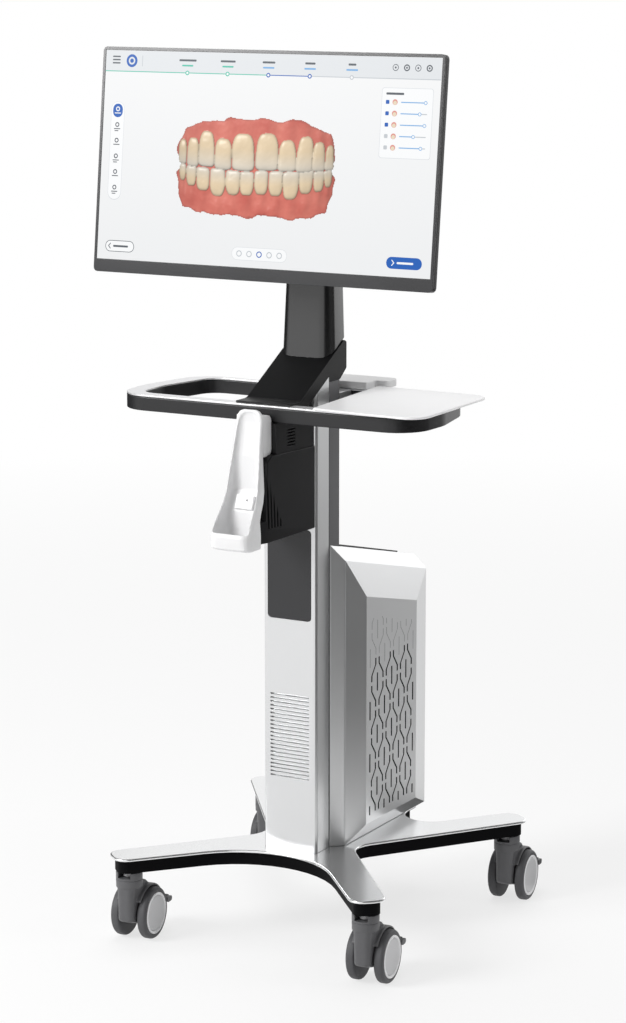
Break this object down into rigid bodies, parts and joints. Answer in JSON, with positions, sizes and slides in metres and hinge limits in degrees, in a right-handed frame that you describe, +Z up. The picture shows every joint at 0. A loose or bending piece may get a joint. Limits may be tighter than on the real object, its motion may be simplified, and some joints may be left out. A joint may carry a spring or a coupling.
{
  "type": "mobile scanning cart",
  "caption": "Wheeled stand with a tilting screen, handle ring, side tray, scanner cradle, vented computer housing and four braked twin-wheel casters",
  "frame": {"origin": "on the floor, under the middle of the overall box", "axes": "+Z up, the screen faces -Y, +X to the right as the user sees the screen"},
  "size_m": [0.54, 0.559, 1.2905],
  "materials": {
    "silver": "satin",
    "white": "gloss",
    "black": "satin",
    "gloss_black": "gloss",
    "grey": "matte",
    "steel": "satin",
    "tyre": "matte",
    "cap": "satin",
    "screen": "gloss"
  },
  "bodies": {
    "cart": {"base_frame": "black", "base_cover": "silver", "column_profile": "silver", "column_front": "silver", "column_channel": "grey", "badge_panel": "gloss_black", "mast_bracket": "black", "neck": "grey", "tilt_block": "steel", "tilt_pin": "steel", "ring_frame": "black", "ring_trim": "silver", "tray": "white", "rear_block": "silver", "rear_shelf": "white", "cradle_bracket": "black", "cradle_shell": "white", "cradle_dock": "white", "housing_body": "silver", "computer_unit": "grey", "top_vent": "black", "cover_right": "silver", "cover_left": "silver", "front_left_stem": "steel", "front_right_stem": "steel", "back_left_stem": "steel", "back_right_stem": "steel"},
    "monitor": {"tilt_plate": "steel", "monitor_shell": "black", "monitor_bezel": "gloss_black", "display_panel": "screen"},
    "front_left_caster": {"front_left_fork": "grey", "front_left_axle": "steel"},
    "front_left_roller_a": {"front_left_wheel_a": "tyre", "front_left_cap_a": "cap"},
    "front_left_roller_b": {"front_left_wheel_b": "tyre", "front_left_cap_b": "cap"},
    "front_left_brake": {"front_left_pedal": "grey"},
    "front_right_caster": {"front_right_fork": "grey", "front_right_axle": "steel"},
    "front_right_roller_a": {"front_right_wheel_a": "tyre", "front_right_cap_a": "cap"},
    "front_right_roller_b": {"front_right_wheel_b": "tyre", "front_right_cap_b": "cap"},
    "front_right_brake": {"front_right_pedal": "grey"},
    "back_left_caster": {"back_left_fork": "grey", "back_left_axle": "steel"},
    "back_left_roller_a": {"back_left_wheel_a": "tyre", "back_left_cap_a": "cap"},
    "back_left_roller_b": {"back_left_wheel_b": "tyre", "back_left_cap_b": "cap"},
    "back_left_brake": {"back_left_pedal": "grey"},
    "back_right_caster": {"back_right_fork": "grey", "back_right_axle": "steel"},
    "back_right_roller_a": {"back_right_wheel_a": "tyre", "back_right_cap_a": "cap"},
    "back_right_roller_b": {"back_right_wheel_b": "tyre", "back_right_cap_b": "cap"},
    "back_right_brake": {"back_right_pedal": "grey"}
  },
  "joints": [
    {"name": "monitor_tilt", "type": "hinge", "parent": "cart", "child": "monitor", "pos_m": [0, -0.08159, 1.12256], "axis": [1, 0, 0], "range_deg": [-10, 12]},
    {"name": "front_left_swivel", "type": "hinge", "parent": "cart", "child": "front_left_caster", "pos_m": [-0.195, -0.2355, 0.1], "axis": [0, 0, 1], "continuous": true},
    {"name": "front_left_roll_a", "type": "hinge", "parent": "front_left_caster", "child": "front_left_roller_a", "pos_m": [-0.21928, -0.2077, 0.0383], "axis": [0.9954, 0.0958, 0], "continuous": true},
    {"name": "front_left_roll_b", "type": "hinge", "parent": "front_left_caster", "child": "front_left_roller_b", "pos_m": [-0.17647, -0.20358, 0.0383], "axis": [0.9954, 0.0958, 0], "continuous": true},
    {"name": "front_left_press", "type": "hinge", "parent": "front_left_caster", "child": "front_left_brake", "pos_m": [-0.1997, -0.18673, 0.0603], "axis": [0.9954, 0.0958, 0], "range_deg": [0, 14]},
    {"name": "front_right_swivel", "type": "hinge", "parent": "cart", "child": "front_right_caster", "pos_m": [0.195, -0.2355, 0.1], "axis": [0, 0, 1], "continuous": true},
    {"name": "front_right_roll_a", "type": "hinge", "parent": "front_right_caster", "child": "front_right_roller_a", "pos_m": [0.17072, -0.2077, 0.0383], "axis": [0.9954, 0.0958, 0], "continuous": true},
    {"name": "front_right_roll_b", "type": "hinge", "parent": "front_right_caster", "child": "front_right_roller_b", "pos_m": [0.21353, -0.20358, 0.0383], "axis": [0.9954, 0.0958, 0], "continuous": true},
    {"name": "front_right_press", "type": "hinge", "parent": "front_right_caster", "child": "front_right_brake", "pos_m": [0.1903, -0.18673, 0.0603], "axis": [0.9954, 0.0958, 0], "range_deg": [0, 14]},
    {"name": "back_left_swivel", "type": "hinge", "parent": "cart", "child": "back_left_caster", "pos_m": [-0.209, 0.1925, 0.1], "axis": [0, 0, 1], "continuous": true},
    {"name": "back_left_roll_a", "type": "hinge", "parent": "back_left_caster", "child": "back_left_roller_a", "pos_m": [-0.23328, 0.2203, 0.0383], "axis": [0.9954, 0.0958, 0], "continuous": true},
    {"name": "back_left_roll_b", "type": "hinge", "parent": "back_left_caster", "child": "back_left_roller_b", "pos_m": [-0.19047, 0.22442, 0.0383], "axis": [0.9954, 0.0958, 0], "continuous": true},
    {"name": "back_left_press", "type": "hinge", "parent": "back_left_caster", "child": "back_left_brake", "pos_m": [-0.2137, 0.24127, 0.0603], "axis": [0.9954, 0.0958, 0], "range_deg": [0, 14]},
    {"name": "back_right_swivel", "type": "hinge", "parent": "cart", "child": "back_right_caster", "pos_m": [0.209, 0.1925, 0.1], "axis": [0, 0, 1], "continuous": true},
    {"name": "back_right_roll_a", "type": "hinge", "parent": "back_right_caster", "child": "back_right_roller_a", "pos_m": [0.18472, 0.2203, 0.0383], "axis": [0.9954, 0.0958, 0], "continuous": true},
    {"name": "back_right_roll_b", "type": "hinge", "parent": "back_right_caster", "child": "back_right_roller_b", "pos_m": [0.22753, 0.22442, 0.0383], "axis": [0.9954, 0.0958, 0], "continuous": true},
    {"name": "back_right_press", "type": "hinge", "parent": "back_right_caster", "child": "back_right_brake", "pos_m": [0.2043, 0.24127, 0.0603], "axis": [0.9954, 0.0958, 0], "range_deg": [0, 14]}
  ]
}
